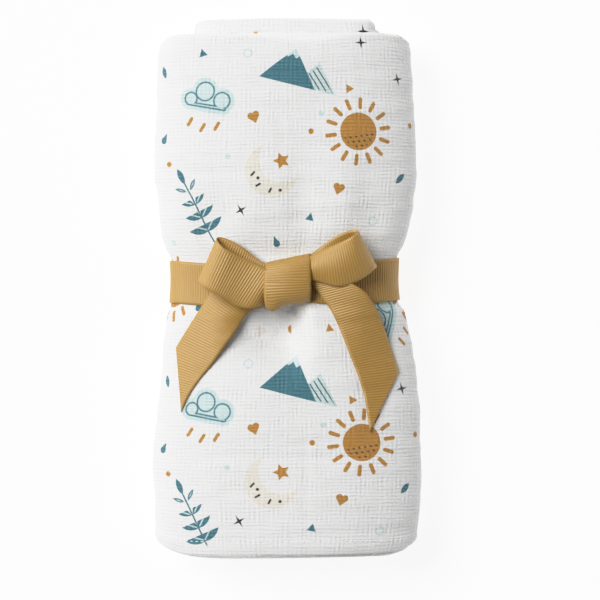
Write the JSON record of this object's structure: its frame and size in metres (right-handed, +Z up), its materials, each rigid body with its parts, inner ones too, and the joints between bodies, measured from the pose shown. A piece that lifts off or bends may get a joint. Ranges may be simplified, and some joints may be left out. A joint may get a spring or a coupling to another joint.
{
  "type": "folded crib sheet",
  "caption": "Thin muslin crib sheet folded to a strip, rolled up flat into a soft oblong bundle and tied round the middle with a ribbon bow.",
  "frame": {"origin": "on the floor, under the middle of the bundle's bounding box", "axes": "+Y along the bundle towards the end where the inner turns stand out, +X across it, +Z up out of the face that carries the bow"},
  "size_m": [0.1529, 0.302, 0.0587],
  "materials": {
    "muslin": "soft crinkled double-gauze cotton, white with a small print in teal, ochre, pale aqua and black",
    "grosgrain": "ribbed grosgrain ribbon, mustard, slightly lustrous"
  },
  "bodies": {
    "root": {"folded_sheet": "muslin", "ribbon": "grosgrain"}
  },
  "joints": []
}
